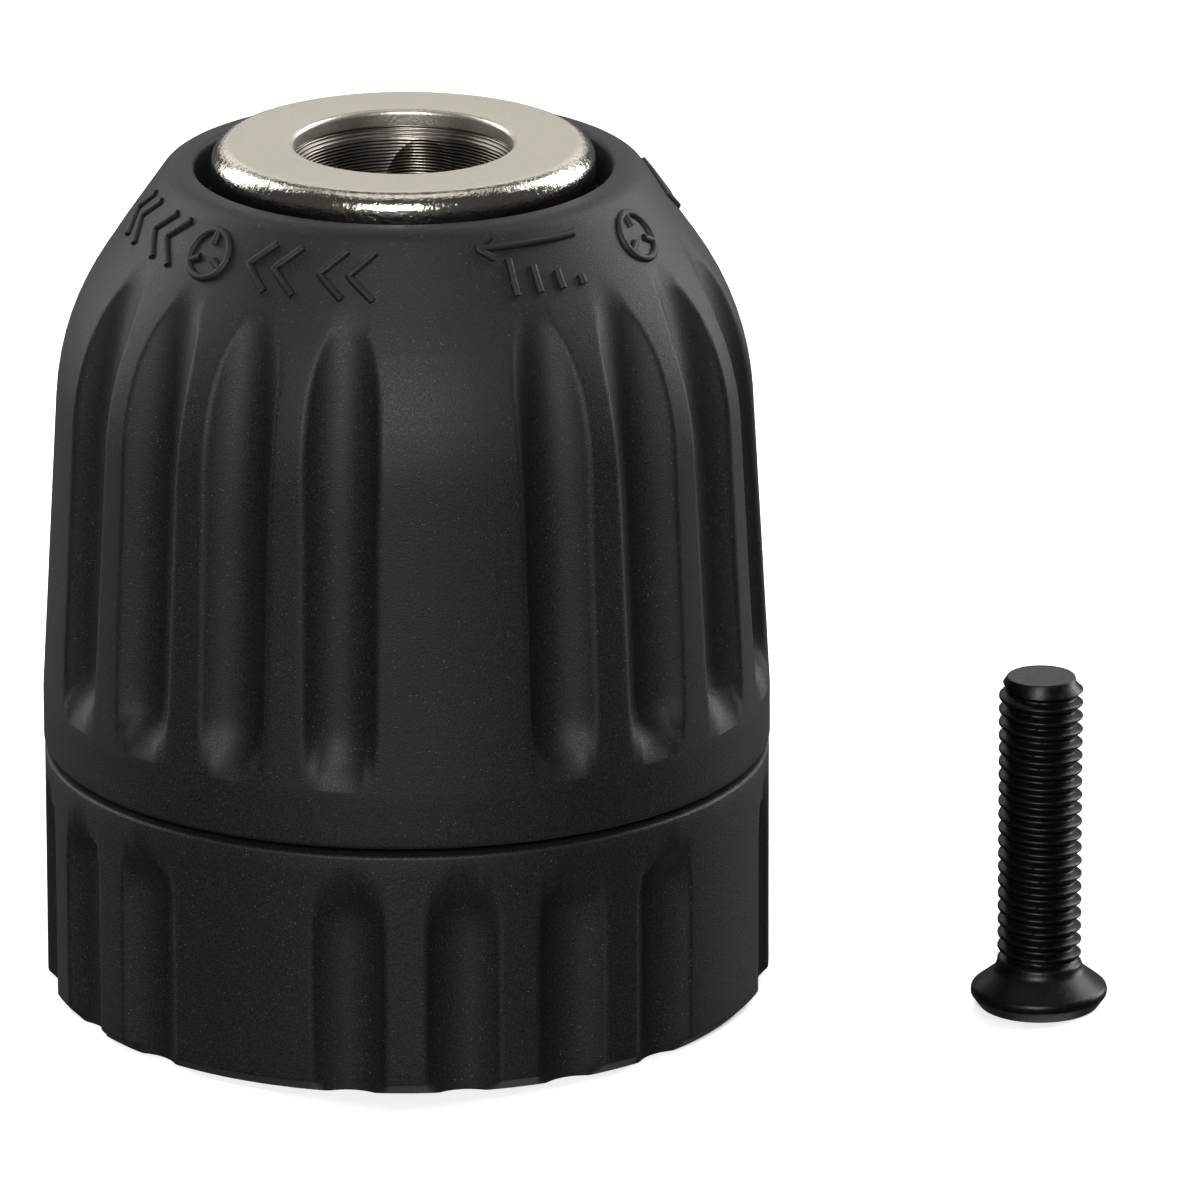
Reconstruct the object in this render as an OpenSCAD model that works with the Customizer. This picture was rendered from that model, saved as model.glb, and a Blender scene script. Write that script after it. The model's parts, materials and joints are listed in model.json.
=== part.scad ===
// Keyless drill chuck with a fixed rear sleeve, a turning front sleeve, three jaws
// driven by a split nut on a ball thrust bearing, and its retaining screw, which
// stands on its head beside the chuck. Millimetres, +Z towards the nose, origin at
// the centre of the rear face, where the spindle enters.

/* [Sleeves] */
// Diameter of the front sleeve at its widest
front_d = 42; // [41.8:0.1:42.4]
// Diameter of the rear sleeve
rear_d = 41.9; // [41.7:0.1:42.3]
// Height of the rear sleeve, up to the seam
rear_h = 14.5; // [14:0.1:14.6]
// Seam between the two sleeves
seam = 0.4; // [0.3:0.05:0.6]
// Height of the front sleeve's lip above the rear face
lip_z = 49.2; // [48.9:0.1:49.4]
// Taper of the front sleeve's grip, on each side
grip_taper = 3.2; // [2.5:0.1:4]
// Slope of the front sleeve's shoulder from the axis
shoulder_slope = 35; // [33:1:37]
// Radius that rounds the grip into the shoulder
shoulder_r = 16.4; // [14:0.2:17]

/* [Flutes] */
// Radius of the cutter that makes the finger flutes
flute_r = 2.5; // [2.4:0.05:2.6]
// Depth of a flute below the grip's surface
flute_depth = 1.3; // [1:0.05:1.4]
// Flutes in each group, with one place left blank after it
flutes_in_group = 4; // [3:1:4]
// Groups of flutes round a sleeve
flute_groups = 4; // [4:1:4]

/* [Nose cap] */
// Height of the chuck, to the top of the nose cap
chuck_h = 50.5; // [50.3:0.1:50.7]
// Diameter of the nose cap
cap_d = 22; // [21.8:0.1:22.4]
// Diameter of the hole in the nose cap
cap_hole_d = 12.6; // [12.3:0.1:13]

/* [Jaws] */
// Angle between a jaw and the chuck's axis
jaw_angle = 15; // [15:0.1:15]
// Diameter of a jaw
jaw_d = 5.9; // [5.8:0.05:5.9]
// Largest shank that the open jaws take
capacity = 10; // [9.6:0.1:10]
// Pitch of the jaw thread along the jaw
jaw_pitch = 1.6; // [1.5:0.05:1.6]

/* [Spindle] */
// Major diameter of the spindle thread, 3/8 inch
spindle_d = 9.52; // [9.52:0.01:9.52]
// Depth of the spindle socket
socket_depth = 16; // [15:0.5:16.5]

/* [Thrust bearing] */
// Diameter of a bearing ball
ball_d = 2; // [2:0.1:2]
// Number of balls in the cage
ball_count = 18; // [12:1:18]

/* [Retaining screw] */
// Thread diameter of the left-hand screw
screw_d = 4.86; // [4.8:0.01:4.95]
// Length of the screw over its head
screw_l = 20; // [16:0.8:20]
// Place of the screw beside the chuck
screw_at = [36.5, -5.3];

/* [Hidden] */
$fn = 96;
JAWS = 3;
front_r = front_d / 2;
rear_r = rear_d / 2;
cap_r = cap_d / 2;
fit = 0.08;      // radial running clearance of the front sleeve on the nose
jaw_play = 0.05; // radial running clearance of a jaw in its hole

// Heights on the body, from the rear face up
flange_z = 12.5;
race_z = 27;
race_h = 1;
ball_gap = 0.02;
upper_race_z = race_z + race_h + ball_d;
groove_z = 31;
nut_z = 31.1;
nut_top_z = 37.5;
ring_top_z = 38;
neck_z = 37.7;
step_z = 45;
nose_z = 49.6;
web_top_z = 22;
front_z = rear_h + seam;
grip_z = 18;
collar_z = step_z + 0.1;
collar_top_z = 46.6;

// Radii on the body
seat_r = 15;
flange_r = 17;
bearing_neck_r = 13;
groove_r = 8;
neck_r = 12.5;
nose_r = 10;
bore_r = 6.05;
mouth_r = 6.45;
mouth_h = 0.7;
screw_hole_r = 2.75;
screw_sink_r = 4.1;
socket_r = spindle_d / 2;
lip_r = 11.95;
ring_r = 17;
nut_r = 13.8;
ball_pitch_r = 14.8;

// The jaws' axes meet the chuck's axis at this height
jaw_apex_z = 59.85;
jaw_first = 79.5;
jaw_r = jaw_d / 2;
jaw_hole_r = jaw_r + jaw_play;
jaw_tail_z = 14.3;
jaw_tip_z = 45.5;
jaw_reach = jaw_r / cos(jaw_angle);
jaw_land = 0.35;
tooth_h = 0.65;
tooth_step = jaw_pitch * cos(jaw_angle);
tooth_count = 15;

// Grip geometry: the taper line, the shoulder line and the arc between them
grip_top_z = 35.6;
grip_top_r = front_r - (grip_top_z - grip_z) * tan(grip_taper);
bend = shoulder_slope - grip_taper;
bend_leg = shoulder_r * tan(bend / 2);
bend_r = grip_top_r - bend_leg * sin(grip_taper);
bend_z = grip_top_z + bend_leg * cos(grip_taper);
lip_outer_r = bend_r - (lip_z - bend_z) * tan(shoulder_slope);

flute_step = 360 / (flute_groups * (flutes_in_group + 1));
front_flute_first = 26.2;
rear_flute_first = -8.6;
flute_foot_z = 18.6;
flute_knee_z = 37;
flute_out_z = 45.2;
rear_flute_top_z = 12.5;
rear_flute_depth = 1.2;

thread_pitch = 0.8;
thread_h = 0.43;
big = 60;

function pad(i) = i < 10 ? str("0", i) : str(i);
function jaw_name(i) = str("jaw_", i);
function ball_name(i) = str("bearing_ball_", pad(i));
BALLS = [for (i = [1:ball_count]) ball_name(i)];
FIXED = ["body", "rear_sleeve", "nose_cap", "lower_race"];
TURNING = ["front_sleeve", "nut_half_a", "nut_half_b", "nut_ring", "upper_race", "ball_cage"];

// Radius of a jaw's axis from the chuck's axis at a height
function jaw_axis_r(z) = (jaw_apex_z - z) * tan(jaw_angle);

// Azimuth from +X of a place given anticlockwise from -Y, as seen from the nose
function azimuth(a) = a - 90;

// Tangent-arc points that replace corner c between its neighbours a and b
function unit(v) = v / norm(v);
function rounded(a, c, b, r, n) =
    let (
        u = unit(a - c),
        v = unit(b - c),
        half = acos(u * v) / 2,
        centre = c + unit(u + v) * r / sin(half),
        from = unit(c + u * r / tan(half) - centre),
        to = unit(c + v * r / tan(half) - centre),
        sweep = 180 - 2 * half
    )
    [for (i = [0:n]) centre + r * (sin(sweep * (1 - i / n)) * from + sin(sweep * i / n) * to) / sin(sweep)];

// An outline from points [radius, height] or [radius, height, corner radius]
function flat(p) = [p[0], p[1]];
function outline(pts) =
    let (last = len(pts) - 1)
    [
        for (i = [0:last])
            let (
                p = pts[i],
                before = flat(pts[i == 0 ? last : i - 1]),
                after = flat(pts[i == last ? 0 : i + 1])
            )
            each is_undef(p[2]) ? [flat(p)] : rounded(before, flat(p), after, p[2], p[2] > 2 ? 8 : 3)
    ];

module turned(pts) {
    rotate_extrude() polygon(outline(pts));
}

module ring(r_in, r_out, z0, z1) {
    turned([[r_in, z0], [r_out, z0], [r_out, z1], [r_in, z1]]);
}

// A straight cutter of radius r with a ball at its foot
module ball_ended(r, length) {
    rotate_extrude() intersection() {
        union() {
            circle(r);
            translate([-r, 0]) square([2 * r, length]);
        }
        translate([0, -r]) square([r, length + 2 * r]);
    }
}

// The places of the flutes round a sleeve, with a blank after each group
module at_flutes(first) {
    for (g = [0:flute_groups - 1], i = [0:flutes_in_group - 1])
        rotate([0, 0, azimuth(first) + (g * (flutes_in_group + 1) + i) * flute_step]) children();
}

// The places of the blanks, in the middle of which the drive lugs stand
module at_blanks(first) {
    for (g = [0:flute_groups - 1])
        rotate([0, 0, azimuth(first) + ((g + 1) * (flutes_in_group + 1) - 1) * flute_step]) children();
}

// A jaw's own frame: its axis is Z, through the place where it crosses z = 0
module jaw_frame(i) {
    rotate([0, 0, jaw_first + (i - 1) * 360 / JAWS])
        translate([jaw_axis_r(0), 0, 0])
            rotate([0, -jaw_angle, 0]) children();
}

module body() {
    color("#8f8d89") difference() {
        turned([
            [socket_r, 0], [seat_r, 0, 0.4], [seat_r, flange_z], [flange_r, flange_z, 0.3],
            [flange_r, race_z, 0.3], [bearing_neck_r, race_z], [bearing_neck_r, groove_z],
            [groove_r, groove_z], [groove_r, neck_z], [neck_r, neck_z],
            [neck_r, step_z], [nose_r, step_z], [nose_r, nose_z], [mouth_r, nose_z],
            [bore_r, nose_z - mouth_h], [bore_r, web_top_z], [screw_sink_r, web_top_z],
            [screw_hole_r, web_top_z - screw_sink_r + screw_hole_r], [screw_hole_r, socket_depth],
            [socket_r, socket_depth]
        ]);
        for (i = [1:JAWS])
            jaw_frame(i) translate([0, 0, -6]) cylinder(h = big + 2, r = jaw_hole_r);
    }
}

module rear_sleeve() {
    shell_r = 18.4;
    floor_h = 2.5;
    hub_r = 16.8;
    color("#17171a") difference() {
        union() {
            turned([
                [seat_r, 0], [rear_r - 0.75, 0, 0.2], [rear_r, 0.75, 0.3], [rear_r, rear_h, 0.2], [flange_r + 0.3, rear_h],
                [flange_r + 0.3, rear_h - 1.2], [shell_r, rear_h - 2.2], [shell_r, floor_h],
                [hub_r, floor_h], [hub_r, flange_z - 0.2], [seat_r, flange_z - 0.2]
            ]);
            at_flutes(rear_flute_first + flute_step / 2)
                translate([hub_r - 0.3, -0.6, floor_h - 0.5]) cube([shell_r - hub_r + 0.6, 1.2, 8]);
        }
        at_flutes(rear_flute_first)
            translate([rear_r + flute_r - rear_flute_depth, 0, rear_flute_top_z - 2.2])
                rotate([180, 0, 0]) ball_ended(flute_r, 20);
    }
}

module nose_cap() {
    color("#b7b1a4") turned([
        [cap_hole_d / 2, nose_z], [nose_r, nose_z], [nose_r, collar_top_z + 0.1],
        [cap_r, collar_top_z + 0.1, 0.2], [cap_r, chuck_h, 1.1], [cap_hole_d / 2, chuck_h, 0.25]
    ]);
}

module front_sleeve() {
    bore = ring_r + 0.02;
    foot_r = front_r + flute_r - flute_depth;
    knee_r = foot_r - (flute_knee_z - grip_z) * tan(grip_taper);
    out_r = bend_r - (flute_out_z - bend_z) * tan(shoulder_slope);
    out_slope = atan((knee_r - flute_r - out_r) / (flute_out_z - flute_knee_z));
    color("#1a1a1d") difference() {
        turned([
            [flange_r + 0.35, front_z], [front_r, front_z, 0.25], [front_r, grip_z],
            [bend_r, bend_z, shoulder_r], [lip_outer_r, lip_z, 0.8], [lip_r, lip_z, 0.35],
            [lip_r, collar_top_z], [nose_r + fit, collar_top_z], [nose_r + fit, collar_z],
            [neck_r + 0.9, collar_z], [neck_r + 0.9, 43.5], [ring_r - 1.8, ring_top_z],
            [bore, ring_top_z], [bore, nut_z - 0.1], [flange_r + 0.35, nut_z - 0.1]
        ]);
        at_flutes(front_flute_first)
            translate([foot_r, 0, flute_foot_z + 2.3])
                rotate([0, -grip_taper, 0]) ball_ended(flute_r, flute_knee_z - flute_foot_z - 2.3);
        at_flutes(front_flute_first)
            translate([knee_r, 0, flute_knee_z - 1])
                rotate([0, -out_slope, 0]) ball_ended(flute_r - 0.05, 20);
        at_blanks(front_flute_first)
            translate([flange_r - 1, -1.55, front_z - 1]) cube([1.95, 3.1, ring_top_z - front_z + 1]);
    }
}

module nut_blank() {
    clear = jaw_reach + 0.06;
    turned([
        [jaw_axis_r(nut_z) + clear, nut_z], [nut_r, nut_z, 0.3], [nut_r, nut_top_z, 0.3],
        [jaw_axis_r(nut_top_z) + clear, nut_top_z]
    ]);
}

module nut_half(side) {
    color("#6f6d6a") intersection() {
        nut_blank();
        translate([-big / 2, side > 0 ? 0.05 : -big - 0.05, 0]) cube([big, big, big]);
    }
}

module nut_ring() {
    color("#7d7b78") union() {
        turned([
            [nut_r, nut_z], [ring_r, nut_z, 0.3], [ring_r, ring_top_z], [neck_r + 0.4, ring_top_z],
            [neck_r + 0.4, nut_top_z], [nut_r, nut_top_z]
        ]);
        at_blanks(front_flute_first)
            translate([ring_r - 0.5, -1.5, nut_z]) cube([1.4, 3, ring_top_z - nut_z]);
    }
}

module lower_race() {
    color("#a9a8a5") ring(bearing_neck_r + 0.1, 16.5, race_z, race_z + race_h);
}

module upper_race() {
    color("#a9a8a5") ring(bearing_neck_r + 0.3, 16.5, upper_race_z, nut_z);
}

module at_ball(i) {
    rotate([0, 0, (i - 1) * 360 / ball_count])
        translate([ball_pitch_r, 0, race_z + race_h + ball_d / 2]) children();
}

module ball_cage() {
    color("#d9d2bd") difference() {
        ring(ball_pitch_r - 1.45, ball_pitch_r + 1.45, race_z + race_h + 0.4, upper_race_z - 0.4);
        for (i = [1:ball_count]) at_ball(i) cylinder(h = 4, r = ball_d / 2 + 0.06, center = true);
    }
}

module bearing_ball(i) {
    color("#c9c9c9") at_ball(i) sphere(r = ball_d / 2 - ball_gap);
}

// A thread groove round the chuck's axis, at its place on the first tooth
module tooth_groove(z) {
    root_r = jaw_axis_r(z) + jaw_reach - tooth_h;
    crest = 0.35;
    rotate_extrude() polygon([
        [root_r, z - crest / 2], [root_r + 2 * tooth_h, z - tooth_step + crest],
        [root_r + 2 * tooth_h, z + tooth_step - crest], [root_r, z + crest / 2]
    ]);
}

module jaw(i) {
    turn = jaw_first + (i - 1) * 360 / JAWS;
    tail = jaw_tail_z / cos(jaw_angle);
    length = (jaw_tip_z - jaw_tail_z) / cos(jaw_angle);
    edge_r = capacity / 2;
    wedge = 10;
    first_z = jaw_tail_z + 1.4 + tooth_step * (turn / 360 - floor(turn / 360));
    color("#55534f") difference() {
        jaw_frame(i) translate([0, 0, tail]) union() {
            cylinder(h = 0.4, r1 = jaw_r - 0.4, r2 = jaw_r);
            translate([0, 0, 0.4]) cylinder(h = length + 1.5, r = jaw_r);
        }
        // Two grip faces at 120 degrees, with a narrow land between them
        rotate([0, 0, turn]) linear_extrude(height = big) polygon([
            [-wedge, -wedge], [edge_r + (wedge - jaw_land) / tan(60), -wedge], [edge_r, -jaw_land],
            [edge_r, jaw_land], [edge_r + (wedge - jaw_land) / tan(60), wedge], [-wedge, wedge]
        ]);
        // The tip, square to the chuck's axis with its back bevelled
        rotate([0, 0, turn]) turned([
            [0, jaw_tip_z], [edge_r + 0.7, jaw_tip_z], [edge_r + 4, jaw_tip_z - 3.3],
            [wedge, jaw_tip_z - 3.3], [wedge, jaw_tip_z + 6], [0, jaw_tip_z + 6]
        ]);
        for (t = [0:tooth_count - 1]) {
            shift = t * jaw_pitch;
            rotate([0, 0, turn])
                translate([-shift * sin(jaw_angle), 0, shift * cos(jaw_angle)]) tooth_groove(first_z);
        }
    }
}

// The screw stands on its head, so its thread points up
module retaining_screw() {
    shank_r = screw_d / 2;
    head_h = 3;
    turns = floor((screw_l - head_h - 1.4) / thread_pitch);
    thread_z = screw_l - 1.2 - turns * thread_pitch;
    thread = [
        for (t = [0:turns - 1], p = [[shank_r - thread_h, 0.15], [shank_r, 0.35], [shank_r, 0.45], [shank_r - thread_h, 0.65]])
            [p[0], thread_z + t * thread_pitch + p[1]]
    ];
    color("#202022") translate([screw_at[0], screw_at[1], 0]) difference() {
        turned(concat(
            [[0, 0], [3.4, 0], [3.95, 0.75, 0.3], [3.95, 1.15, 0.2], [shank_r + 0.25, 2.65, 0.6], [shank_r, head_h]],
            thread,
            [[shank_r - thread_h, screw_l - 0.7], [1.95, screw_l], [0, screw_l]]
        ));
        for (a = [0, 90]) rotate([0, 0, a + 20]) translate([-2.1, -0.5, -1]) cube([4.2, 1, 2.6]);
        cylinder(h = 4.6, r1 = 1.7, r2 = 0.7, center = true);
    }
}

body();
rear_sleeve();
nose_cap();
lower_race();
front_sleeve();
nut_half(1);  // nut_half_a
nut_half(-1);  // nut_half_b
nut_ring();
upper_race();
ball_cage();
for (i = [1:JAWS]) jaw(i);
for (i = [1:ball_count]) bearing_ball(i);
retaining_screw();
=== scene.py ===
"""Keyless drill chuck: its moulded sleeves, plated nose cap, threads and finishes."""

import json
import math

import bpy
from bpy.props import FloatProperty, FloatVectorProperty, PointerProperty
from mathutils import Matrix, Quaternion, Vector


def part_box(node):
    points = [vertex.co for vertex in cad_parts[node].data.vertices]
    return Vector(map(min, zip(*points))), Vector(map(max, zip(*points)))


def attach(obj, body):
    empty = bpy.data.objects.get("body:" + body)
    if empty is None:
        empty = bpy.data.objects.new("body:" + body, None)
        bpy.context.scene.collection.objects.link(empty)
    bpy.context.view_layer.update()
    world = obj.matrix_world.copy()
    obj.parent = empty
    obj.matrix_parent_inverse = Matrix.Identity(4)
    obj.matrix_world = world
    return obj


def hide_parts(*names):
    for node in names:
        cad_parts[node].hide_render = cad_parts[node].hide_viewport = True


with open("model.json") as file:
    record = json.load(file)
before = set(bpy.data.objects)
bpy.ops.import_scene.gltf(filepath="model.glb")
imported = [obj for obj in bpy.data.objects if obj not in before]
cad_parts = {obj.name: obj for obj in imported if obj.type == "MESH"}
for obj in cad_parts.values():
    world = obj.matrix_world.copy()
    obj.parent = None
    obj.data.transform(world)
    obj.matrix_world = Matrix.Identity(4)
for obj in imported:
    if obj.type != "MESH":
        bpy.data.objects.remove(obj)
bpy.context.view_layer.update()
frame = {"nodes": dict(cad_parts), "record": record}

bl_info = {
    "name": "Keyless drill chuck",
    "version": (1, 0, 0),
    "blender": (4, 5, 0),
    "location": "View3D > Sidebar > Chuck",
    "description": "Builds the sleeves, nose cap, threads and finishes of a keyless drill chuck",
    "category": "Add Mesh",
}

MM = 0.001
FRONT_LOW, FRONT_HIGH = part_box("front_sleeve")
REAR_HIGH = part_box("rear_sleeve")[1]
CAP_LOW, CAP_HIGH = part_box("nose_cap")
BODY_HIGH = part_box("body")[1]
SCREW_LOW, SCREW_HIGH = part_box("retaining_screw")
SPINDLE = next(m for m in frame["record"]["mounts"] if m["name"] == "spindle_socket")
SOCKET_RADIUS = SPINDLE["dims"]["r_mm"]

# How the flutes stand round a sleeve: four, then one place left blank, in degrees
FLUTE_STEP = 18
FLUTES_IN_GROUP = 4
FRONT_FIRST = 26.2
REAR_FIRST = -8.6

# Slope of the shoulder between the bend and the lip
SHOULDER_SLOPE = math.radians(35)

# Angles in degrees past which an edge is shaded sharp
PLATED_CREASE = 38
BEAD_CREASE = 50
FLUTED_CREASE = 75


def linear(hex_colour):
    """A linear colour from an sRGB hex value."""
    parts = [int(hex_colour[i : i + 2], 16) / 255 for i in (1, 3, 5)]
    return tuple(c / 12.92 if c <= 0.04045 else ((c + 0.055) / 1.055) ** 2.4 for c in parts)


def size(name, description, millimetres):
    """A length property with its default in millimetres."""
    return FloatProperty(name=name, description=description, default=millimetres * MM, unit="LENGTH")


def colour(name, description, hex_colour):
    """A colour property with its default as an sRGB hex value."""
    return FloatVectorProperty(
        name=name, description=description, default=linear(hex_colour), subtype="COLOR", min=0, max=1
    )


class ChuckSizes(bpy.types.PropertyGroup):
    """Sizes of the visible details, in metres"""

    flute_radius: size("Flute radius", "Radius of the cutter that forms a finger flute", 2.5)
    flute_depth: size("Flute depth", "Depth of a front flute below the grip", 1.3)
    rear_flute_radius: size("Rear flute radius", "Radius of the cutter of the rear flutes", 2.65)
    rear_flute_depth: size("Rear flute depth", "Depth of a rear flute", 1.2)
    soft_edge: size("Soft edge", "Rounding where a front flute meets the grip", 0.16)
    crisp_edge: size("Crisp edge", "Rounding where a rear flute meets the sleeve", 0.04)
    cap_edge: size("Cap edge", "Radius of the nose cap's rolled edge", 1.1)
    mark_width: size("Mark width", "Width of a raised stroke on the shoulder", 0.48)
    screw_pitch: size("Screw pitch", "Pitch of the retaining screw's thread", 0.8)
    spindle_pitch: size("Spindle pitch", "Pitch of the spindle thread, 24 to the inch", 25.4 / 24)


class ChuckColours(bpy.types.PropertyGroup):
    """Colours of the finishes"""

    nylon: colour("Nylon", "Glass-filled nylon of the sleeves", "#0f0f12")
    # Colour of the painted glints: fibre ends painted as light specks on the nylon
    nylon_painted_glint: colour("Nylon speck", "Fibre ends that show as light specks", "#4a4a50")
    nickel: colour("Nickel", "Nickel plating of the nose cap", "#aba79d")
    steel: colour("Steel", "Turned steel of the body and the nut", "#6f6a64")
    ground: colour("Ground steel", "Ground steel of the bearing", "#b9b9b6")
    jaw: colour("Jaw steel", "Hardened steel of the jaws", "#6a6560")
    cage: colour("Cage nylon", "Natural nylon of the ball cage", "#e3dcc6")
    oxide: colour("Black oxide", "Oxide of the retaining screw", "#161618")
    floor: colour("Floor", "Pale studio floor", "#f4f4f4")


# ---------------------------------------------------------------- nodes

def add(tree, kind, inputs=(), **settings):
    """Adds a node with its settings. An input is a value, a socket, or a node for its first output."""
    made = tree.nodes.new(kind)
    for key, value in settings.items():
        setattr(made, key, value)
    pairs = inputs.items() if isinstance(inputs, dict) else enumerate(inputs)
    for key, value in pairs:
        source = value.outputs[0] if isinstance(value, bpy.types.Node) else value
        if isinstance(source, bpy.types.NodeSocket):
            tree.links.new(source, made.inputs[key])
        else:
            made.inputs[key].default_value = source
    return made


def calc(tree, operation, *inputs):
    """A math node."""
    return add(tree, "ShaderNodeMath", inputs, operation=operation)


def remap(tree, value, source=(0.0, 1.0), target=(0.0, 1.0)):
    """A node that maps a value from one range to another and holds it at the ends."""
    ranges = {"From Min": source[0], "From Max": source[1], "To Min": target[0], "To Max": target[1]}
    return add(tree, "ShaderNodeMapRange", {"Value": value, **ranges})


def geometry_tree(name, inputs):
    """A Geometry Nodes tree with named number inputs. Returns the tree and its input node."""
    tree = bpy.data.node_groups.new(name, "GeometryNodeTree")
    tree.interface.new_socket("Geometry", in_out="INPUT", socket_type="NodeSocketGeometry")
    for label in inputs:
        tree.interface.new_socket(label, in_out="INPUT", socket_type="NodeSocketFloat")
    tree.interface.new_socket("Material", in_out="INPUT", socket_type="NodeSocketMaterial")
    tree.interface.new_socket("Geometry", in_out="OUTPUT", socket_type="NodeSocketGeometry")
    return tree, tree.nodes.new("NodeGroupInput")


def close_tree(tree, start, shape):
    """Ends a tree in Realize Instances and Set Material."""
    real = add(tree, "GeometryNodeRealizeInstances", {"Geometry": shape})
    dressed = add(tree, "GeometryNodeSetMaterial", {"Geometry": real, "Material": start.outputs["Material"]})
    add(tree, "NodeGroupOutput", {"Geometry": dressed})


def apply_tree(piece, tree, values):
    """Runs a tree on a piece and keeps the result as its plain mesh."""
    modifier = piece.modifiers.new(tree.name, "NODES")
    modifier.node_group = tree
    for item in tree.interface.items_tree:
        if item.in_out == "INPUT" and item.name in values:
            modifier[item.identifier] = values[item.name]
    depsgraph = bpy.context.evaluated_depsgraph_get()
    result = bpy.data.meshes.new_from_object(piece.evaluated_get(depsgraph), depsgraph=depsgraph)
    piece.modifiers.clear()
    old, piece.data = piece.data, result
    bpy.data.meshes.remove(old)
    result.name = piece.name


# ---------------------------------------------------------------- meshes

def rounded(before, corner, after, radius, steps):
    """Points of the arc that rounds a corner between its two neighbours."""
    corner = Vector(corner)
    to_before = (Vector(before) - corner).normalized()
    to_after = (Vector(after) - corner).normalized()
    half = to_before.angle(to_after) / 2
    centre = corner + (to_before + to_after).normalized() * radius / math.sin(half)
    start = (corner + to_before * radius / math.tan(half) - centre).normalized()
    end = (corner + to_after * radius / math.tan(half) - centre).normalized()
    return [tuple(centre + start.slerp(end, i / steps) * radius) for i in range(steps + 1)]


def outline(points, steps=8):
    """A closed outline from (radius, height) or (radius, height, corner radius), in millimetres."""
    made = []
    for i, point in enumerate(points):
        if len(point) == 2:
            made.append(tuple(point))
            continue
        before, after = points[i - 1][:2], points[(i + 1) % len(points)][:2]
        made += rounded(before, point[:2], after, point[2], steps)
    return made


def stepped(points, spacing, closed=True):
    """The same outline with points added so that no stretch is longer than spacing(radius, height)."""
    made = []
    ends = points[1:] + (points[:1] if closed else [])
    for a, b in zip(points, ends):
        length = math.dist(a, b)
        count = max(1, math.ceil(length / spacing((a[0] + b[0]) / 2, (a[1] + b[1]) / 2) - 1e-6))
        made += [(a[0] + (b[0] - a[0]) * k / count, a[1] + (b[1] - a[1]) * k / count) for k in range(count)]
    return made if closed else made + [points[-1]]


def even_angles(count):
    return [math.tau * i / count for i in range(count)]


def piece_from(name, points, edges=(), faces=()):
    """A mesh piece from points in millimetres."""
    mesh = bpy.data.meshes.new(name)
    mesh.from_pydata([(x * MM, y * MM, z * MM) for x, y, z in points], edges, faces)
    mesh.validate()
    piece = bpy.data.objects.new(name, mesh)
    bpy.context.scene.collection.objects.link(piece)
    return piece


def crease(piece, degrees):
    """Smooth shading with sharp edges where the surface turns by more than an angle."""
    piece.data.shade_smooth()
    piece.data.set_sharp_from_angle(angle=math.radians(degrees))


def lathe(name, rows, angles, at=(0, 0)):
    """A turned solid from an outline that runs anticlockwise in (radius, height)."""
    count = len(angles)
    points = []
    starts = []
    pole = [radius < 1e-6 for radius, _ in rows]
    for (radius, height), single in zip(rows, pole):
        starts.append(len(points))
        if single:
            points.append((*at, height))
            continue
        for angle in angles:
            points.append((at[0] + radius * math.cos(angle), at[1] + radius * math.sin(angle), height))
    faces = []
    for i in range(len(rows)):
        j = (i + 1) % len(rows)
        if pole[i] and pole[j]:
            continue
        for k in range(count):
            m = (k + 1) % count
            lower = [starts[i]] if pole[i] else [starts[i] + k, starts[i] + m]
            upper = [starts[j]] if pole[j] else [starts[j] + m, starts[j] + k]
            faces.append(lower + upper)
    return piece_from(name, points, faces=faces)


def set_slot(piece, body, slot, *nodes):
    """Puts a finished piece on its body and hides the CAD nodes that it stands for."""
    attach(piece, body)
    if nodes:
        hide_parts(*nodes)


# ---------------------------------------------------------------- shapes by rule

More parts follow.
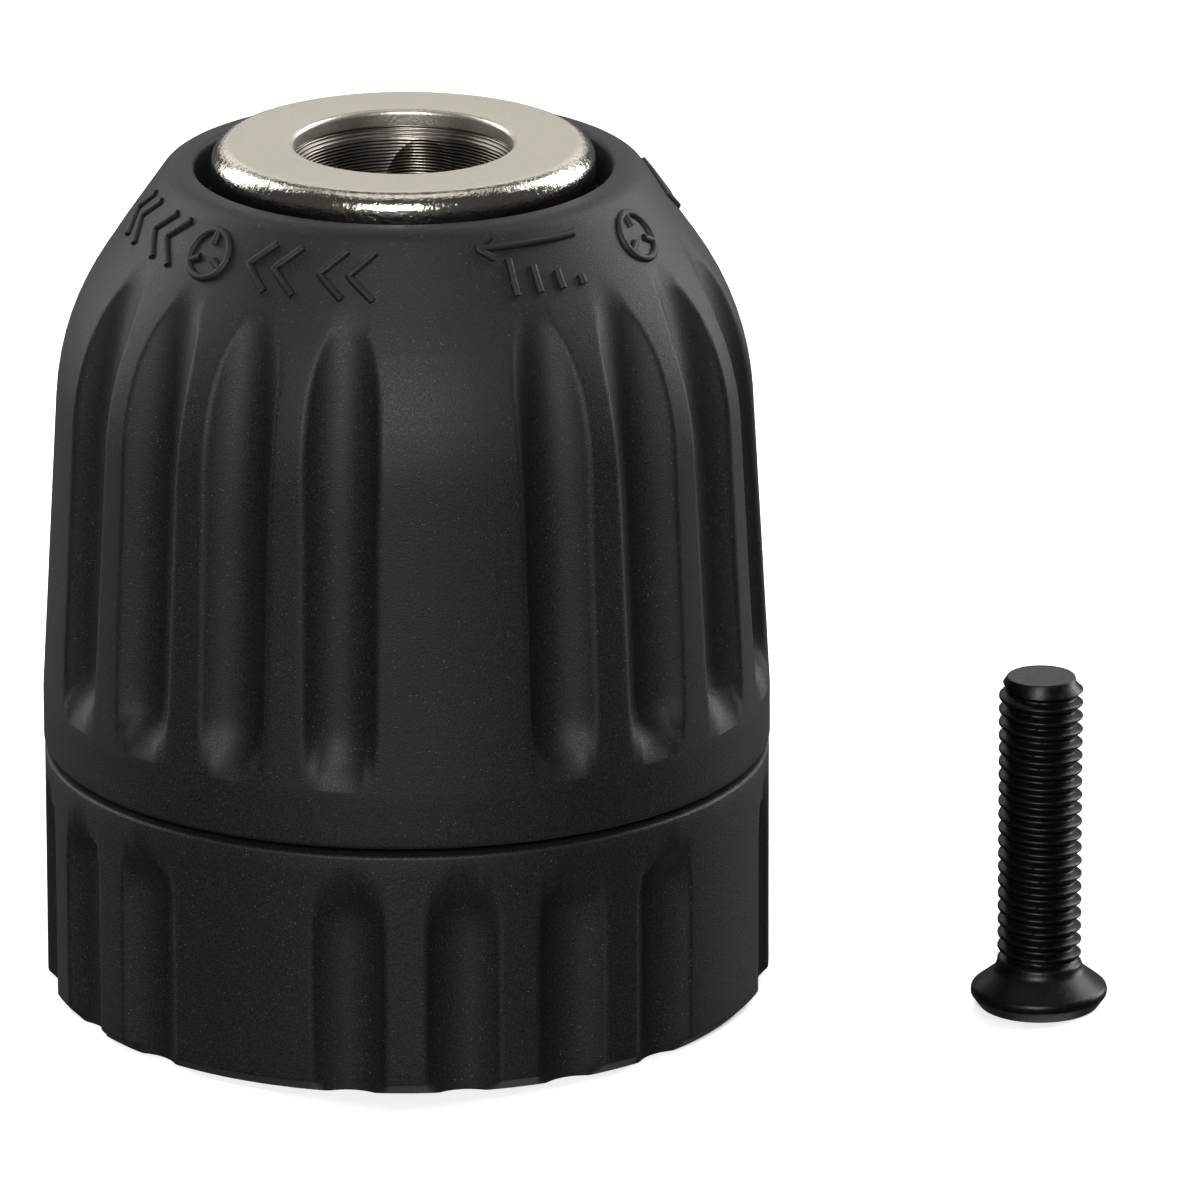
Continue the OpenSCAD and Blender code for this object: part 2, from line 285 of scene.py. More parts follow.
def flutes_tree():
    """Sinks finger flutes into a turned sleeve: groups of grooves with a ball end, softly edged."""
    inputs = (
        "First Angle", "Step Angle", "Places In Group", "Cutter Radius", "Floor Radius", "Floor Height",
        "Taper", "Bend Height", "Bend", "End Height", "End Side", "Softness",
    )
    tree, start = geometry_tree("Finger flutes", inputs)
    given = start.outputs
    place = add(tree, "GeometryNodeInputPosition")
    x, y, z = add(tree, "ShaderNodeSeparateXYZ", [place]).outputs
    flat = add(tree, "ShaderNodeCombineXYZ", [x, y, 0.0])
    radius = add(tree, "ShaderNodeVectorMath", [flat], operation="LENGTH").outputs["Value"]
    angle = calc(tree, "ARCTAN2", y, x)
    turned = calc(tree, "SUBTRACT", angle, given["First Angle"])
    place_number = calc(tree, "ROUND", calc(tree, "DIVIDE", turned, given["Step Angle"]))
    centre = calc(tree, "MULTIPLY", place_number, given["Step Angle"])
    off = calc(tree, "SUBTRACT", turned, centre)
    side = calc(tree, "MULTIPLY", calc(tree, "SINE", off), radius)
    in_group = calc(tree, "FLOORED_MODULO", place_number, given["Places In Group"])
    last = calc(tree, "SUBTRACT", given["Places In Group"], 1.5)
    fluted = calc(tree, "LESS_THAN", in_group, last)

    below = calc(tree, "SUBTRACT", given["End Height"], z)
    past_end = calc(tree, "MAXIMUM", calc(tree, "MULTIPLY", below, given["End Side"]), 0.0)
    square_end = calc(tree, "POWER", past_end, 2.0)
    square_side = calc(tree, "POWER", calc(tree, "ABSOLUTE", side), 2.0)
    square_cut = calc(tree, "POWER", given["Cutter Radius"], 2.0)
    left = calc(tree, "SUBTRACT", square_cut, calc(tree, "ADD", square_end, square_side))
    reach = calc(tree, "SQRT", calc(tree, "MAXIMUM", left, 0.0))

    up = calc(tree, "SUBTRACT", z, given["Floor Height"])
    taper = calc(tree, "MULTIPLY", up, given["Taper"])
    bent = calc(tree, "MAXIMUM", calc(tree, "SUBTRACT", z, given["Bend Height"]), 0.0)
    bend = calc(tree, "MULTIPLY", calc(tree, "POWER", bent, 2.0), given["Bend"])
    floor = calc(tree, "SUBTRACT", given["Floor Radius"], calc(tree, "ADD", taper, bend))
    cutter = calc(tree, "ADD", floor, given["Cutter Radius"])
    facing = calc(tree, "SUBTRACT", cutter, reach)
    square_facing = calc(tree, "POWER", facing, 2.0)
    groove = calc(tree, "SQRT", calc(tree, "ADD", square_facing, square_side))
    cut = calc(tree, "SMOOTH_MIN", radius, groove, given["Softness"])
    share = calc(tree, "DIVIDE", cut, radius)
    scale = add(tree, "ShaderNodeCombineXYZ", [share, share, 1.0])
    moved = add(tree, "ShaderNodeVectorMath", [place, scale], operation="MULTIPLY")
    shape = add(
        tree, "GeometryNodeSetPosition",
        {"Geometry": given["Geometry"], "Selection": fluted, "Position": moved},
    )
    close_tree(tree, start, shape)
    return tree


def thread_tree():
    """Moves the marked points of a turned surface towards its axis along a helix: a groove on a screw, a
    ridge in a bore. Hand is 1 for right and -1 for left."""
    inputs = (
        "Pitch", "Centre Height", "Hand", "Foot", "Crest", "Depth", "Start", "End", "Fade",
        "Axis X", "Axis Y",
    )
    tree, start = geometry_tree("Screw thread", inputs)
    given = start.outputs
    place = add(tree, "GeometryNodeInputPosition")
    axis = add(tree, "ShaderNodeCombineXYZ", [given["Axis X"], given["Axis Y"], 0.0])
    local = add(tree, "ShaderNodeVectorMath", [place, axis], operation="SUBTRACT")
    x, y, z = add(tree, "ShaderNodeSeparateXYZ", [local]).outputs
    flat = add(tree, "ShaderNodeCombineXYZ", [x, y, 0.0])
    angle = calc(tree, "ARCTAN2", y, x)
    turns = calc(tree, "MULTIPLY", calc(tree, "DIVIDE", angle, math.tau), given["Hand"])
    risen = calc(tree, "MULTIPLY", turns, given["Pitch"])
    from_centre = calc(tree, "SUBTRACT", calc(tree, "SUBTRACT", z, given["Centre Height"]), risen)
    half_pitch = calc(tree, "MULTIPLY", given["Pitch"], 0.5)
    wrapped = calc(tree, "WRAP", from_centre, calc(tree, "MULTIPLY", half_pitch, -1.0), half_pitch)
    distance = calc(tree, "ABSOLUTE", wrapped)
    ridge = remap(tree, distance, (given["Foot"], given["Crest"]))
    start_end = calc(tree, "ADD", given["Start"], given["Fade"])
    rising = remap(tree, z, (given["Start"], start_end))
    end_start = calc(tree, "SUBTRACT", given["End"], given["Fade"])
    falling = remap(tree, z, (given["End"], end_start))
    inside = calc(tree, "MULTIPLY", rising, falling)
    marked = add(tree, "GeometryNodeInputNamedAttribute", {"Name": "threaded"}, data_type="FLOAT")
    amount = calc(tree, "MULTIPLY", calc(tree, "MULTIPLY", ridge, inside), marked)
    depth = calc(tree, "MULTIPLY", amount, given["Depth"])
    outward = add(tree, "ShaderNodeVectorMath", [flat], operation="NORMALIZE")
    inward = calc(tree, "MULTIPLY", depth, -1.0)
    shift = add(tree, "ShaderNodeVectorMath", {0: outward, "Scale": inward}, operation="SCALE")
    shape = add(tree, "GeometryNodeSetPosition", {"Geometry": given["Geometry"], "Offset": shift})
    close_tree(tree, start, shape)
    return tree


def mark_threaded(piece, test):
    """Marks the points that the thread moves, by a test on their place in metres."""
    marks = piece.data.attributes.new("threaded", "FLOAT", "POINT")
    marks.data.foreach_set("value", [float(test(v.co)) for v in piece.data.vertices])


def strokes_tree():
    """Lays a round bead along every line of a mesh of edges."""
    tree, start = geometry_tree("Raised strokes", ("Bead Radius", "Spacing"))
    given = start.outputs
    lines = add(tree, "GeometryNodeMeshToCurve", {"Mesh": given["Geometry"]})
    even = add(tree, "GeometryNodeResampleCurve", {"Curve": lines, "Length": given["Spacing"]}, mode="LENGTH")
    section = add(
        tree, "GeometryNodeCurvePrimitiveCircle",
        {"Resolution": 12, "Radius": given["Bead Radius"]}, mode="RADIUS",
    )
    bead = add(tree, "GeometryNodeCurveToMesh", {"Curve": even, "Profile Curve": section, "Fill Caps": True})
    close_tree(tree, start, bead)
    return tree


# ---------------------------------------------------------------- finishes

def finish_of(name, base, roughness, metallic=0.0):
    """A new material. Returns it with its tree, its Principled shader and its object coordinates."""
    made = bpy.data.materials.new(name)
    made.use_nodes = True
    tree = made.node_tree
    shader = tree.nodes["Principled BSDF"]
    shader.inputs["Base Color"].default_value = (*base, 1)
    shader.inputs["Roughness"].default_value = roughness
    shader.inputs["Metallic"].default_value = metallic
    place = add(tree, "ShaderNodeTexCoord").outputs["Object"]
    return made, tree, shader, place


def grain(tree, place, feature, detail=3.0, rough=0.55):
    """How a noise of a given feature size in millimetres varies from 0 to 1."""
    return add(
        tree, "ShaderNodeTexNoise",
        {"Vector": place, "Scale": 1 / (feature * MM), "Detail": detail, "Roughness": rough},
    ).outputs["Fac"]


def shade(base, factor=1.0):
    """A colour made darker or lighter, with full alpha."""
    return (*[c * factor for c in base], 1)


def blend(tree, factor, low, high):
    """The colour between two colours, by a factor."""
    return add(tree, "ShaderNodeMix", {0: factor, 6: low, 7: high}, data_type="RGBA").outputs[2]


def emboss(tree, shader, height, depth, strength=1.0):
    """Gives a shader a bump of a depth in millimetres."""
    bump = add(tree, "ShaderNodeBump", {"Height": height, "Distance": depth * MM, "Strength": strength})
    tree.links.new(bump.outputs[0], shader.inputs["Normal"])


def moulded_nylon(colours):
    """Glass-filled nylon, injection moulded against a spark-eroded tool: matt and finely pebbled, with fibre
    ends shown as faint light specks painted into the colour: painted glints."""
    made, tree, shader, place = finish_of("Moulded nylon, glass filled", colours.nylon, 0.5)
    shader.inputs["IOR"].default_value = 1.53
    shader.inputs["Specular IOR Level"].default_value = 0.28
    sand = grain(tree, place, 0.1, detail=2.0, rough=0.7)
    pebbles = remap(tree, sand, (0.34, 0.66))
    clouds = grain(tree, place, 4.0, detail=3.0)
    # Painted glints: scattered light specks painted into the base colour where fibre ends would catch the
    # light
    cells = add(tree, "ShaderNodeTexVoronoi", {"Vector": place, "Scale": 1 / (0.12 * MM)})
    chance, bright, _ = add(tree, "ShaderNodeSeparateColor", [cells.outputs["Color"]]).outputs
    share = remap(tree, clouds, (0.35, 0.7), (0.98, 0.86))
    chosen = calc(tree, "GREATER_THAN", chance, share)
    small = remap(tree, cells.outputs["Distance"], (0.36, 0.18))
    painted_glint_strength = calc(tree, "MULTIPLY", small, bright)
    painted_glint_mask = calc(tree, "MULTIPLY", painted_glint_strength, chosen)
    tone = blend(tree, pebbles, shade(colours.nylon, 0.15), shade(colours.nylon, 1.7))
    colour_with_painted_glints = blend(tree, painted_glint_mask, tone, shade(colours.nylon_painted_glint))
    tree.links.new(colour_with_painted_glints, shader.inputs["Base Color"])
    gloss = remap(tree, pebbles, target=(0.5, 0.68))
    tree.links.new(gloss.outputs[0], shader.inputs["Roughness"])
    emboss(tree, shader, sand, 0.022)
    return made


def plated_nickel(colours):
    """Nickel plate over pressed steel: warm grey and satin on top, bright and pitted on the rolled edge."""
    made, tree, shader, place = finish_of("Nickel plate on pressed steel", colours.nickel, 0.3, metallic=1.0)
    peel = grain(tree, place, 0.2, detail=5.0)
    pits = grain(tree, place, 0.42, detail=3.0, rough=0.7)
    across = add(tree, "ShaderNodeVectorMath", [place, (1.0, 1.0, 0.0)], operation="MULTIPLY")
    radius = add(tree, "ShaderNodeVectorMath", [across], operation="LENGTH").outputs["Value"]
    rolled = remap(tree, radius, (9.9 * MM, 10.35 * MM))
    tone = blend(tree, peel, shade(colours.nickel, 0.8), shade(colours.nickel, 1.15))
    tree.links.new(tone, shader.inputs["Base Color"])
    gloss = remap(tree, rolled, target=(0.34, 0.1))
    varied = calc(tree, "MULTIPLY_ADD", peel, 0.12, gloss)
    tree.links.new(varied.outputs[0], shader.inputs["Roughness"])
    pitting = calc(tree, "MULTIPLY", pits, rolled)
    height = calc(tree, "MULTIPLY_ADD", pitting, 2.5, peel)
    emboss(tree, shader, height, 0.02)
    return made


def turned_steel(colours):
    """Free-cutting steel, turned and left bare: tool rings and a dull oily lustre that varies from cut to
    cut."""
    ring_gap = 0.2 * MM
    made, tree, shader, place = finish_of("Turned steel", colours.steel, 0.32, metallic=1.0)
    height = add(tree, "ShaderNodeSeparateXYZ", [place]).outputs[2]
    wander = grain(tree, place, 1.5, detail=2.0)
    shaken = calc(tree, "MULTIPLY_ADD", wander, 0.08 * MM, height)
    rings = calc(tree, "SINE", calc(tree, "MULTIPLY", shaken, math.tau / ring_gap))
    stain = grain(tree, place, 2.5)
    cuts = calc(tree, "MULTIPLY_ADD", rings, 0.22, stain)
    gloss = remap(tree, stain, target=(0.2, 0.42))
    tree.links.new(gloss.outputs[0], shader.inputs["Roughness"])
    tone = blend(tree, cuts, shade(colours.steel, 0.45), shade(colours.steel, 1.5))
    tree.links.new(tone, shader.inputs["Base Color"])
    emboss(tree, shader, rings, 0.02)
    return made


def ground_steel(name, base, low, high):
    """Hardened steel, ground: an even lustre with faint short scratches."""
    made, tree, shader, place = finish_of(name, base, low, metallic=1.0)
    drawn = add(tree, "ShaderNodeMapping", {"Vector": place, "Scale": (1.0, 1.0, 0.08)})
    scratches = grain(tree, drawn, 0.12, detail=4.0)
    gloss = remap(tree, scratches, target=(low, high))
    tree.links.new(gloss.outputs[0], shader.inputs["Roughness"])
    emboss(tree, shader, scratches, 0.004)
    return made


def natural_nylon(colours):
    """Natural nylon of the cage, moulded: ivory, waxy and slightly clouded."""
    made, tree, shader, place = finish_of("Natural nylon", colours.cage, 0.42)
    clouds = grain(tree, place, 0.8)
    tone = blend(tree, clouds, shade(colours.cage, 0.85), shade(colours.cage))
    tree.links.new(tone, shader.inputs["Base Color"])
    emboss(tree, shader, clouds, 0.01, strength=0.5)
    return made


def black_oxide(colours):
    """Black oxide on rolled steel, slightly oily: near black, satin, with brighter rubbed grains."""
    made, tree, shader, place = finish_of("Black oxide on steel", colours.oxide, 0.36, metallic=0.85)
    rub = grain(tree, place, 0.3, detail=4.0)
    tone = blend(tree, rub, shade(colours.oxide, 0.45), shade(colours.oxide, 1.7))
    tree.links.new(tone, shader.inputs["Base Color"])
    gloss = remap(tree, rub, target=(0.28, 0.5))
    tree.links.new(gloss.outputs[0], shader.inputs["Roughness"])
    emboss(tree, shader, rub, 0.012)
    return made


def finish(slot):
    """The material of a slot, made once."""
    colours = bpy.context.scene.chuck_colours
    makers = {
        "moulded_nylon": lambda: moulded_nylon(colours),
        "plated_nickel": lambda: plated_nickel(colours),
        "turned_steel": lambda: turned_steel(colours),
        "ground_steel": lambda: ground_steel("Ground bearing steel", colours.ground, 0.12, 0.3),
        "hardened_steel": lambda: ground_steel("Hardened jaw steel", colours.jaw, 0.22, 0.42),
        "natural_nylon": lambda: natural_nylon(colours),
        "black_oxide": lambda: black_oxide(colours),
    }
    if slot not in finish.made:
        finish.made[slot] = makers[slot]()
    return finish.made[slot]


finish.made = {}


def dress(node, slot):
    """Gives a CAD node its finish."""
    mesh = frame["nodes"][node].data
    mesh.materials.clear()
    mesh.materials.append(finish(slot))


# ---------------------------------------------------------------- pieces

def flute_edge(radius, cutter, depth):
    """Half of the angle that a flute takes of its sleeve, in degrees."""
    centre = radius - depth + cutter
    return math.degrees(math.acos((radius**2 + centre**2 - cutter**2) / (2 * radius * centre)))


def sleeve_angles(first, edge):
    """Directions round a sleeve: close together across each flute, one on its edges, wide elsewhere."""
    half = FLUTE_STEP / 2
    land, floor, wide = 5, 28, 8
    fluted = [-half + (half - edge) * k / land for k in range(land)]
    fluted += [-edge + 2 * edge * k / floor for k in range(floor)]
    fluted += [edge + (half - edge) * k / land for k in range(land)]
    plain = [FLUTE_STEP * (k / wide - 0.5) for k in range(wide)]
    angles = []
    for place in range(round(360 / FLUTE_STEP)):
        offsets = plain if place % (FLUTES_IN_GROUP + 1) == FLUTES_IN_GROUP else fluted
        angles += [math.radians(first - 90 + place * FLUTE_STEP + offset) for offset in offsets]
    return angles


def flute_values(first, sizes, **more):
    """Values for the flutes of one sleeve. Those given by name replace the common ones."""
    return {
        "First Angle": math.radians(first - 90),
        "Step Angle": math.radians(FLUTE_STEP),
        "Places In Group": float(FLUTES_IN_GROUP + 1),
        "Cutter Radius": sizes.flute_radius,
        "Material": finish("moulded_nylon"),
        **more,
    }


class CHUCK_OT_front_sleeve(bpy.types.Operator):
    """Front sleeve: tapered grip, rounded shoulder, lip, and groups of finger flutes"""

    bl_idname = "chuck.front_sleeve"
    bl_label = "Front sleeve"

    def execute(self, context):
        sizes = context.scene.chuck_sizes
        radius = FRONT_HIGH.y / MM
        foot, lip = FRONT_LOW.z / MM, FRONT_HIGH.z / MM
        grip = 18.0
        taper = math.tan(math.radians(3.2))
        bend_r, bend_z = 19.755, 40.265
        lip_outer = bend_r - (lip - bend_z) * math.tan(SHOULDER_SLOPE)
        flute_end, flute_bend_z, flute_bend = 21.1, 33.2, 0.0124
        rows = outline([
            (17.35, foot), (radius, foot, 0.3), (radius, grip, 12.0), (bend_r, bend_z, 16.4),
            (lip_outer, lip, 1.3), (11.95, lip, 0.35), (11.95, 46.6), (10.08, 46.6), (10.08, 45.1),
            (13.4, 45.1), (13.4, 43.5), (15.2, 38.0), (17.02, 38.0), (17.02, 31.0), (17.35, 31.0),
        ])
        hidden, flute_ends, shoulder, plain = 8.0, 0.12, 0.32, 1.1

        def spacing(r, z):
            if r < 17.5 and z < 38:
                return hidden
            if 18.6 < z < 21.4:
                return flute_ends
            return shoulder if 38.5 < z < 46 else plain

        edge = flute_edge(radius * MM, sizes.flute_radius, sizes.flute_depth)
        piece = lathe("front_sleeve_shell", stepped(rows, spacing), sleeve_angles(FRONT_FIRST, edge))
        values = flute_values(
            FRONT_FIRST, sizes,
            **{
                "Floor Radius": radius * MM - sizes.flute_depth, "Floor Height": grip * MM,
                "Taper": taper, "Bend Height": flute_bend_z * MM, "Bend": flute_bend / MM,
                "End Height": flute_end * MM, "End Side": 1.0, "Softness": sizes.soft_edge,
            },
        )
        apply_tree(piece, flutes_tree(), values)
        crease(piece, FLUTED_CREASE)
        set_slot(piece, "sleeve_group", "moulded_nylon", "front_sleeve")
        return {"FINISHED"}


class CHUCK_OT_rear_sleeve(bpy.types.Operator):
    """Rear sleeve: short fixed sleeve with flutes that run out below, on its hub"""

    bl_idname = "chuck.rear_sleeve"
    bl_label = "Rear sleeve"

    def execute(self, context):
        sizes = context.scene.chuck_sizes
        radius, top = REAR_HIGH.y / MM, REAR_HIGH.z / MM
        cutter, depth = sizes.rear_flute_radius, sizes.rear_flute_depth
        chamfer, flute_top = 0.75, 12.5
        end = flute_top * MM - math.sqrt(cutter**2 - (cutter - depth) ** 2)
        rows = outline([
            (15.0, 0.0), (19.2, 0.0), (radius - chamfer, 0.0, 0.2), (radius, chamfer, 0.3),
            (radius, top, 0.22), (17.3, top), (17.3, top - 1.2), (18.4, top - 2.2), (18.4, 2.5),
            (16.8, 2.5), (16.8, 12.3), (15.0, 12.3),
        ], steps=5)
        hidden, flute_tops, plain = 4.0, 0.1, 1.1

        def spacing(r, z):
            if r < 18.5:
                return hidden
            return flute_tops if 9.9 < z < 12.9 else plain

        edge = flute_edge(radius * MM, cutter, depth)
        piece = lathe("rear_sleeve_shell", stepped(rows, spacing), sleeve_angles(REAR_FIRST, edge))
        values = flute_values(
            REAR_FIRST, sizes,
            **{
                "Cutter Radius": cutter, "Floor Radius": radius * MM - depth, "Floor Height": 0.0,
                "Taper": 0.0, "Bend Height": 1.0, "Bend": 0.0,
                "End Height": end, "End Side": -1.0, "Softness": sizes.crisp_edge,
            },
        )
        apply_tree(piece, flutes_tree(), values)
        crease(piece, FLUTED_CREASE)
        set_slot(piece, "chuck_body", "moulded_nylon", "rear_sleeve")
        return {"FINISHED"}


class CHUCK_OT_nose_cap(bpy.types.Operator):
    """Nose cap: pressed and plated, with a rolled outer edge"""

    bl_idname = "chuck.nose_cap"
    bl_label = "Nose cap"

    def execute(self, context):
        edge = context.scene.chuck_sizes.cap_edge / MM
        radius, top, skirt = CAP_HIGH.y / MM, CAP_HIGH.z / MM, CAP_LOW.z / MM
        under = BODY_HIGH.z / MM
        hole, inner, directions = 6.3, 10.0, 256
        rows = outline([
            (hole, under), (inner, under), (inner, skirt), (radius, skirt, 0.25), (radius, top, edge),
            (hole, top, 0.3),
        ], steps=14)
        piece = lathe("nose_cap_shell", stepped(rows, lambda r, z: 0.6), even_angles(directions))
        piece.data.materials.append(finish("plated_nickel"))
        crease(piece, PLATED_CREASE)
        set_slot(piece, "chuck_body", "plated_nickel", "nose_cap")
        return {"FINISHED"}


def arc_points(radius, start, end, count):
    """Points of a flat arc in millimetres, angles in degrees."""
    turns = [math.radians(start + (end - start) * k / count) for k in range(count + 1)]
    return [(radius * math.cos(t), radius * math.sin(t)) for t in turns]


def chevron(x):
    """One arrow head, centred on x."""
    half_width, half_height = 0.75, 1.45
    return [(x + half_width, half_height), (x - half_width, 0.0), (x + half_width, -half_height)]


def jaw_sign():
    """A ring with three short jaws pointing to its middle."""
    outer, inner = 1.45, 0.6
    jaws = [
        [(outer * math.cos(t), outer * math.sin(t)), (inner * math.cos(t), inner * math.sin(t))]
        for t in (math.radians(90 + 120 * k) for k in range(3))
    ]
    return [arc_points(outer, 0, 360, 32)] + jaws


def turning_arrow():
    """A long arrow over a row of rising bars, for the gripping direction."""
    bars = [[(x, -1.55), (x, -1.55 + 0.55 * (k + 1))] for k, x in enumerate((2.7, 1.3, -0.1, -1.5))]
    return [[(3.4, 1.45), (-3.2, 1.45)], [(-2.3, 2.1), (-3.3, 1.45), (-2.3, 0.8)]] + bars


class CHUCK_OT_grip_marks(bpy.types.Operator):
    """Raised signs on the shoulder, without letters: chevrons, a jaw sign and a turning arrow"""

    bl_idname = "chuck.grip_marks"
    bl_label = "Grip marks"

    def execute(self, context):
        width = context.scene.chuck_sizes.mark_width
        mid_r, mid_z = 15.06, 46.97
        point_gap, bead_gap = 0.3, 0.25
        double = [chevron(-0.75), chevron(0.95)]
        signs = [
            (-12, double), (-29, double), (-46, jaw_sign()), (-63, double), (-80, double),
            (30, turning_arrow()), (62, jaw_sign()),
        ]
        points, edges = [], []
        for half in (0, 180):
            for centre, lines in signs:
                for line in lines:
                    first = len(points)
                    for u, v in stepped(line, lambda u, v: point_gap, closed=False):
                        radius = mid_r - v * math.sin(SHOULDER_SLOPE)
                        height = mid_z + v * math.cos(SHOULDER_SLOPE)
                        turn = math.radians(centre + half - 90) + u / mid_r
                        points.append((radius * math.cos(turn), radius * math.sin(turn), height))
                    edges += [(k, k + 1) for k in range(first, len(points) - 1)]
        piece = piece_from("grip_marks", points, edges=edges)
        apply_tree(
            piece, strokes_tree(),
            {"Bead Radius": width / 2, "Spacing": bead_gap * MM, "Material": finish("moulded_nylon")},
        )
        crease(piece, BEAD_CREASE)
        set_slot(piece, "sleeve_group", "moulded_nylon")
        return {"FINISHED"}


class CHUCK_OT_retaining_screw(bpy.types.Operator):
    """Retaining screw: countersunk, left-hand, standing on its head"""

    bl_idname = "chuck.retaining_screw"
    bl_label = "Retaining screw"

    def execute(self, context):
        sizes = context.scene.chuck_sizes
        axis = (SCREW_LOW + SCREW_HIGH) / 2
        top = SCREW_HIGH.z / MM
        neck, crest, directions = 2.5, 2.43, 72
        rows = outline([
            (0, 0.0), (3.4, 0.0, 0.25), (3.95, 0.75, 0.3), (3.95, 1.15, 0.4), (2.55, 2.25, 0.7),
            (crest, 2.75, 0.2), (crest, top - 0.75, 0.1), (1.95, top, 0.12), (0, top),
        ], steps=6)
        threaded, plain = 0.055, 0.5

        def spacing(r, z):
            return threaded if neck < z < top - 0.5 else plain

        piece = lathe(
            "retaining_screw_left_hand", stepped(rows, spacing), even_angles(directions),
            at=(axis.x / MM, axis.y / MM),
        )
        mark_threaded(piece, lambda co: neck * MM < co.z < (top - 0.02) * MM)
        values = {
            "Pitch": sizes.screw_pitch, "Centre Height": 3.6 * MM, "Hand": -1.0,
            "Foot": 0.34 * MM, "Crest": 0.07 * MM, "Depth": 0.42 * MM,
            "Start": 2.6 * MM, "End": (top - 0.2) * MM, "Fade": 0.5 * MM,
            "Axis X": axis.x, "Axis Y": axis.y, "Material": finish("black_oxide"),
        }
        apply_tree(piece, thread_tree(), values)
        crease(piece, BEAD_CREASE)
        set_slot(piece, "screw", "black_oxide", "retaining_screw")
        return {"FINISHED"}


class CHUCK_OT_spindle_thread(bpy.types.Operator):
    """Spindle thread: the right-hand ridge inside the socket of the body"""

    bl_idname = "chuck.spindle_thread"
    bl_label = "Spindle thread"

    def execute(self, context):
        sizes = context.scene.chuck_sizes
        low, high, directions = 0.3, 15.0, 72
        inner, outer = SOCKET_RADIUS - 0.02, SOCKET_RADIUS + 0.08
        rows = [(inner, low), (outer, low), (outer, high), (inner, high)]
        threaded, buried = 0.08, 1.5

        def spacing(r, z):
            return threaded if r < SOCKET_RADIUS else buried

        piece = lathe("spindle_thread_ridge", stepped(rows, spacing), even_angles(directions))
        mark_threaded(piece, lambda co: math.hypot(co.x, co.y) < SOCKET_RADIUS * MM)
        values = {
            "Pitch": sizes.spindle_pitch, "Centre Height": 0.0, "Hand": 1.0,
            "Foot": 0.45 * MM, "Crest": 0.08 * MM, "Depth": 0.45 * MM,
            "Start": low * MM, "End": high * MM, "Fade": 0.6 * MM,
            "Axis X": 0.0, "Axis Y": 0.0, "Material": finish("turned_steel"),
        }
        apply_tree(piece, thread_tree(), values)
        crease(piece, BEAD_CREASE)
        set_slot(piece, "chuck_body", "turned_steel")
        return {"FINISHED"}


class CHUCK_OT_steelwork(bpy.types.Operator):
    """Finishes of the body, jaws, nut and bearing"""

    bl_idname = "chuck.steelwork"
    bl_label = "Steelwork"

    def execute(self, context):
        slots = {row["node"]: row["material_slot"] for row in frame["record"]["subparts"]}
        for node, slot in slots.items():
            if not frame["nodes"][node].hide_render:
                dress(node, slot)
        return {"FINISHED"}


# ---------------------------------------------------------------- stage

def soft_light(name, place, target, width, height, power, tint):
    """A rectangular lamp that faces its target."""
    light = bpy.data.lights.new(name, "AREA")
    light.shape = "RECTANGLE"
    light.size, light.size_y = width, height
    light.energy = power
    light.color = tint
    lamp = bpy.data.objects.new(name, light)
    lamp.location = place
    lamp.rotation_euler = (Vector(target) - Vector(place)).to_track_quat("-Z", "Y").to_euler()
    bpy.context.scene.collection.objects.link(lamp)
    return lamp


def lay_floor(scene):
    """A flat floor, faintly lit by itself, clear from below and left out of shadows and reflections."""
    half, low, glow = 3000.0, -0.02, 0.3
    made, tree, shader, place = finish_of("Matt studio floor", scene.chuck_colours.floor, 0.9)
    emboss(tree, shader, grain(tree, place, 0.6), 0.01, strength=0.3)
    facing = add(tree, "ShaderNodeNewGeometry").outputs["Backfacing"]
    clear = add(tree, "ShaderNodeBsdfTransparent")
    seen = add(tree, "ShaderNodeMixShader", {0: facing, 1: shader, 2: clear})
    tree.links.new(seen.outputs[0], tree.nodes["Material Output"].inputs["Surface"])
    shader.inputs["Emission Color"].default_value = (*linear("#ffffff"), 1)
    shader.inputs["Emission Strength"].default_value = glow
    corners = [(x, y, low) for x, y in ((-half, -half), (half, -half), (half, half), (-half, half))]
    ground = piece_from("studio_floor", corners, faces=[(0, 1, 2, 3)])
    ground.data.materials.append(made)
    ground.visible_diffuse = False
    ground.visible_glossy = False
    ground.visible_shadow = False


def hang_lights():
    """The studio's soft lamps."""
    soft_light("key_light", (-0.08, -0.8, 0.42), (0, 0, 0.025), 0.28, 0.28, 9.8, (1, 0.99, 0.97))
    soft_light("top_light", (0.0, 0.1, 0.6), (0.01, 0, 0.03), 0.4, 0.3, 0.7, (1, 0.98, 0.95))
    soft_light("left_light", (-0.42, 0.25, 0.25), (0, 0, 0.03), 0.2, 0.5, 2.4, (1, 1, 1))
    soft_light("right_light", (0.42, 0.25, 0.25), (0, 0, 0.03), 0.2, 0.5, 3.6, (1, 1, 1))
    soft_light("cap_light", (0.0, 0.4, 0.24), (0, 0, 0.04), 0.5, 0.16, 0.5, (1, 0.98, 0.93))
    rear = soft_light("rear_light", (0.12, 0.75, 0.42), (0, 0, 0.025), 0.3, 0.3, 5.0, (1, 1, 1))
    rear.visible_glossy = False
    soft_light("low_light", (0.1, 0.1, -0.6), (0, 0, 0), 0.4, 0.4, 0.8, (1, 1, 1))


def surround(scene):
    """A pale world, bright to the camera, dim in reflections and dimmer still as light."""
    base, mirrored_gain, camera_gain = 0.05, 0.05, 0.95
    world = bpy.data.worlds.new("Studio")
    world.use_nodes = True
    tree = world.node_tree
    sky = tree.nodes["Background"]
    sky.inputs["Color"].default_value = (*linear("#fafafa"), 1)
    path = add(tree, "ShaderNodeLightPath").outputs
    mirrored = calc(tree, "MULTIPLY_ADD", path["Is Glossy Ray"], mirrored_gain, base)
    strength = calc(tree, "MULTIPLY_ADD", path["Is Camera Ray"], camera_gain, mirrored)
    tree.links.new(strength.outputs[0], sky.inputs["Strength"])
    scene.world = world


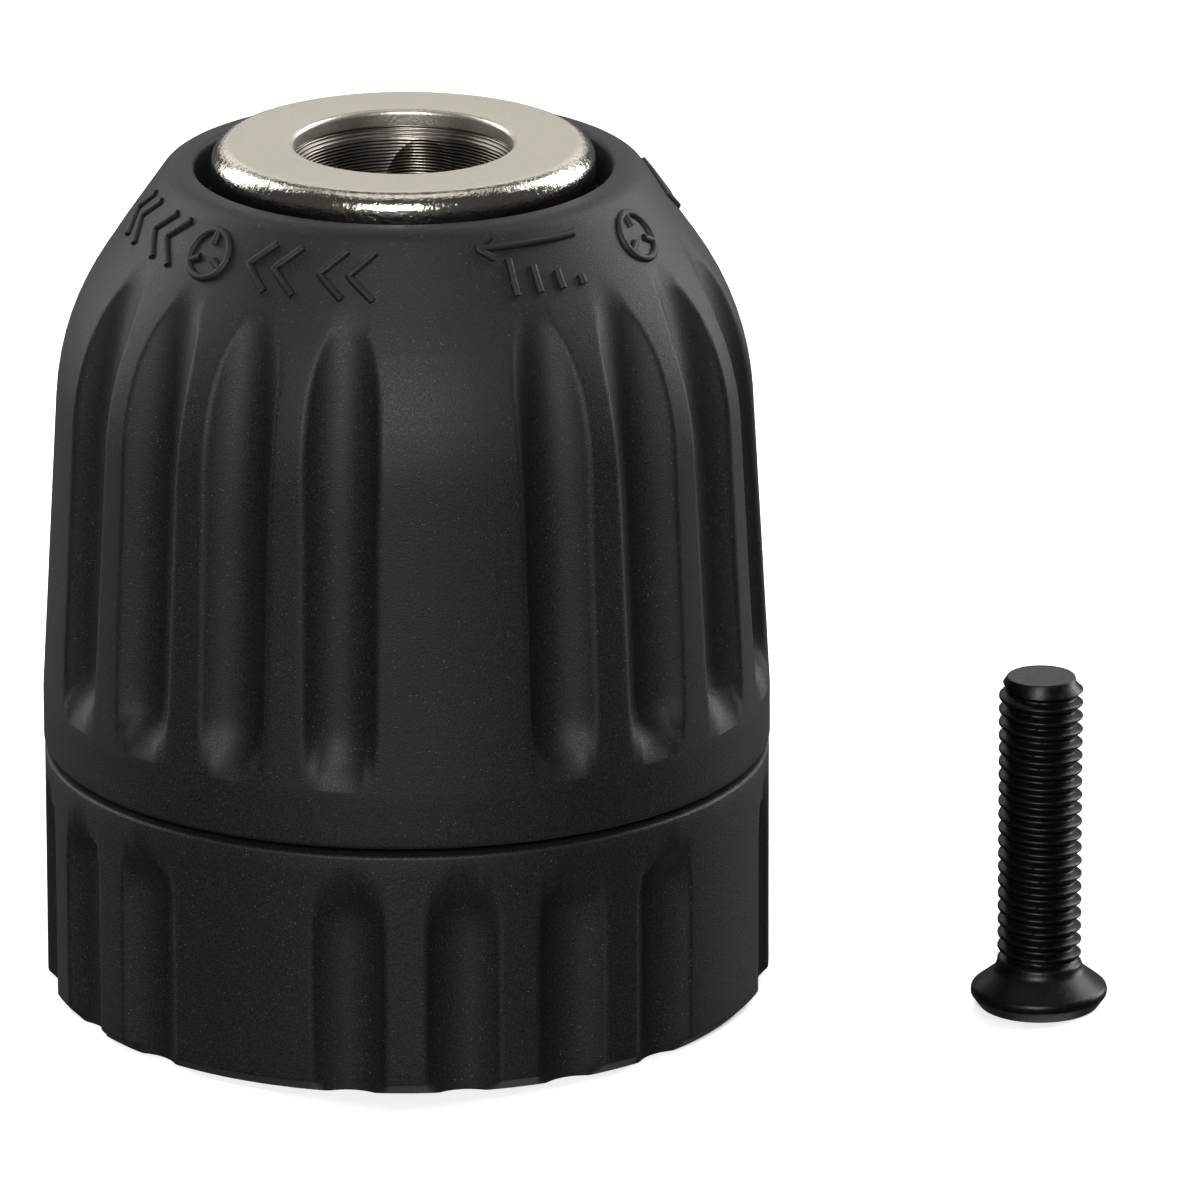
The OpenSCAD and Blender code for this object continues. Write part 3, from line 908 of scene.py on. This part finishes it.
def set_camera(scene):
    """A long lens, a little above the chuck and in front of it."""
    distance, elevation, roll = 0.85, math.radians(18.3), math.radians(-0.12)
    camera = bpy.data.cameras.new("camera")
    camera.lens = 442
    camera.sensor_width = 36
    camera.clip_start, camera.clip_end = 0.05, 10
    eye = bpy.data.objects.new("camera", camera)
    aim = Vector((11.18 * MM, 0, 22.87 * MM))
    back = Vector((0, -math.cos(elevation), math.sin(elevation)))
    eye.location = aim + back * distance
    eye.rotation_mode = "QUATERNION"
    tilt = Quaternion((0, 0, 1), roll)
    eye.rotation_quaternion = (-back).to_track_quat("-Z", "Y") @ tilt
    scene.collection.objects.link(eye)
    scene.camera = eye


class CHUCK_OT_stage(bpy.types.Operator):
    """Pale floor, soft studio light and the camera"""

    bl_idname = "chuck.stage"
    bl_label = "Stage"

    def execute(self, context):
        lay_floor(context.scene)
        hang_lights()
        surround(context.scene)
        context.scene.view_settings.view_transform = "Standard"
        set_camera(context.scene)
        return {"FINISHED"}


class CHUCK_PT_panel(bpy.types.Panel):
    """Lists the chuck's pieces, sizes and colours"""

    bl_idname = "CHUCK_PT_panel"
    bl_label = "Keyless drill chuck"
    bl_space_type = "VIEW_3D"
    bl_region_type = "UI"
    bl_category = "Chuck"

    def draw(self, context):
        for maker in OPERATORS:
            self.layout.operator(maker.bl_idname)
        for group in (context.scene.chuck_sizes, context.scene.chuck_colours):
            box = self.layout.box()
            for name in group.__annotations__:
                box.prop(group, name)


OPERATORS = (
    CHUCK_OT_front_sleeve,
    CHUCK_OT_rear_sleeve,
    CHUCK_OT_nose_cap,
    CHUCK_OT_grip_marks,
    CHUCK_OT_retaining_screw,
    CHUCK_OT_spindle_thread,
    CHUCK_OT_steelwork,
    CHUCK_OT_stage,
)
CLASSES = (ChuckSizes, ChuckColours, *OPERATORS, CHUCK_PT_panel)


def register():
    for cls in CLASSES:
        bpy.utils.register_class(cls)
    bpy.types.Scene.chuck_sizes = PointerProperty(type=ChuckSizes)
    bpy.types.Scene.chuck_colours = PointerProperty(type=ChuckColours)


def unregister():
    del bpy.types.Scene.chuck_sizes
    del bpy.types.Scene.chuck_colours
    for cls in reversed(CLASSES):
        bpy.utils.unregister_class(cls)


def main():
    register()
    for maker in OPERATORS:
        group, name = maker.bl_idname.split(".")
        getattr(getattr(bpy.ops, group), name)()


if __name__ == "__main__":
    main()
